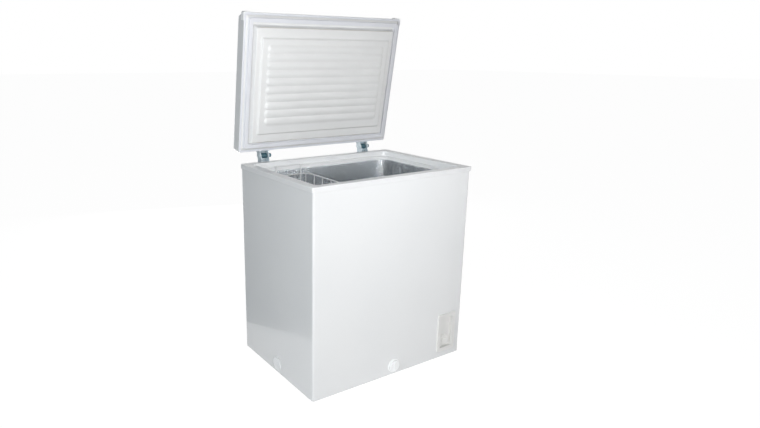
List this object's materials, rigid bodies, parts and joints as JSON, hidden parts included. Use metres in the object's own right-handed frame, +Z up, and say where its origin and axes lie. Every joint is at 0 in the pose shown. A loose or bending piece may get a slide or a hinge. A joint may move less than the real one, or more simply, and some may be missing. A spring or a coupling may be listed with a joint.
{
  "type": "chest freezer",
  "caption": "White upright-sided chest freezer with a hinged ribbed lid held open, a stepped mouth frame, an embossed tank, a hanging wire basket, a low thermostat panel and a drain.",
  "frame": {"origin": "bottom centre of the bounding box, with the lid open, on the floor", "axes": "+X to the right seen from the front, +Y to the back, +Z up"},
  "size_m": [0.7438, 0.5994, 1.3725],
  "materials": {
    "white_paint": "gloss",
    "grey_steel": "satin",
    "black_rubber": "matte",
    "foam": "matte",
    "embossed_aluminium": "satin",
    "white_plastic": "satin",
    "inner_lid_plastic": "satin",
    "gasket_vinyl": "matte",
    "copper": "satin",
    "black_paint": "satin",
    "black_plastic": "matte",
    "zinc_steel": "satin",
    "coated_wire": "gloss"
  },
  "bodies": {
    "cabinet": {"outer_shell": "white_paint", "back_panel": "grey_steel", "base_plate": "grey_steel", "feet": "white_plastic", "cabinet_foam": "foam", "inner_liner": "embossed_aluminium", "top_rim": "white_plastic", "evaporator_tube": "copper", "condenser_tube": "black_paint", "compressor": "black_paint", "compressor_mounts": "black_rubber", "compressor_bolts": "zinc_steel", "start_relay": "black_plastic", "filter_drier": "copper", "vent_grille": "white_plastic", "cord_gland": "black_rubber", "panel_screws": "zinc_steel", "control_panel": "white_plastic", "thermostat_body": "black_plastic", "drain_collar": "white_plastic", "drain_tube": "white_plastic", "side_cap": "white_plastic", "hinge_screws": "zinc_steel", "hinge_bracket_right": "zinc_steel", "hinge_bracket_left": "zinc_steel", "hinge_pin_right": "black_paint", "hinge_pin_left": "black_paint", "hinge_spring_right": "black_paint", "hinge_spring_left": "black_paint"},
    "lid": {"lid_shell": "white_paint", "lid_foam": "foam", "lid_liner": "inner_lid_plastic", "lid_gasket": "gasket_vinyl", "lid_corner_caps": "white_plastic", "lid_arm_right": "zinc_steel", "lid_arm_left": "zinc_steel", "lid_screws": "zinc_steel"},
    "knob": {"thermostat_knob": "white_plastic", "thermostat_shaft": "zinc_steel"},
    "spout": {"drain_spout": "white_plastic"},
    "dial": {"drain_dial": "white_plastic"},
    "plug": {"floor_plug": "black_rubber"},
    "basket": {"basket_top_rail": "coated_wire", "basket_floor": "coated_wire", "basket_front": "coated_wire", "basket_back": "coated_wire", "basket_left": "coated_wire", "basket_right": "coated_wire", "basket_front_hanger": "coated_wire", "basket_back_hanger": "coated_wire"}
  },
  "joints": [
    {"name": "lid_hinge", "type": "hinge", "parent": "cabinet", "child": "lid", "pos_m": [0, 0.26487, 0.8193], "axis": [-1, 0, 0], "range_deg": [-80.87, 0]},
    {"name": "basket_slide", "type": "slide", "parent": "cabinet", "child": "basket", "axis": [1, 0, 0], "range_m": [0, 0.37]},
    {"name": "thermostat_turn", "type": "hinge", "parent": "cabinet", "child": "knob", "pos_m": [0.28675, -0.28693, 0.0795], "axis": [0, 1, 0], "range_deg": [-135, 135]},
    {"name": "drain_pull", "type": "slide", "parent": "cabinet", "child": "spout", "axis": [0, -1, 0], "range_m": [0, 0.025]},
    {"name": "drain_turn", "type": "hinge", "parent": "spout", "child": "dial", "pos_m": [0.011, -0.28693, 0.045], "axis": [0, -1, 0], "range_deg": [0, 180]},
    {"name": "floor_plug_lift", "type": "slide", "parent": "cabinet", "child": "plug", "axis": [0, 0, 1], "range_m": [0, 0.02]}
  ]
}
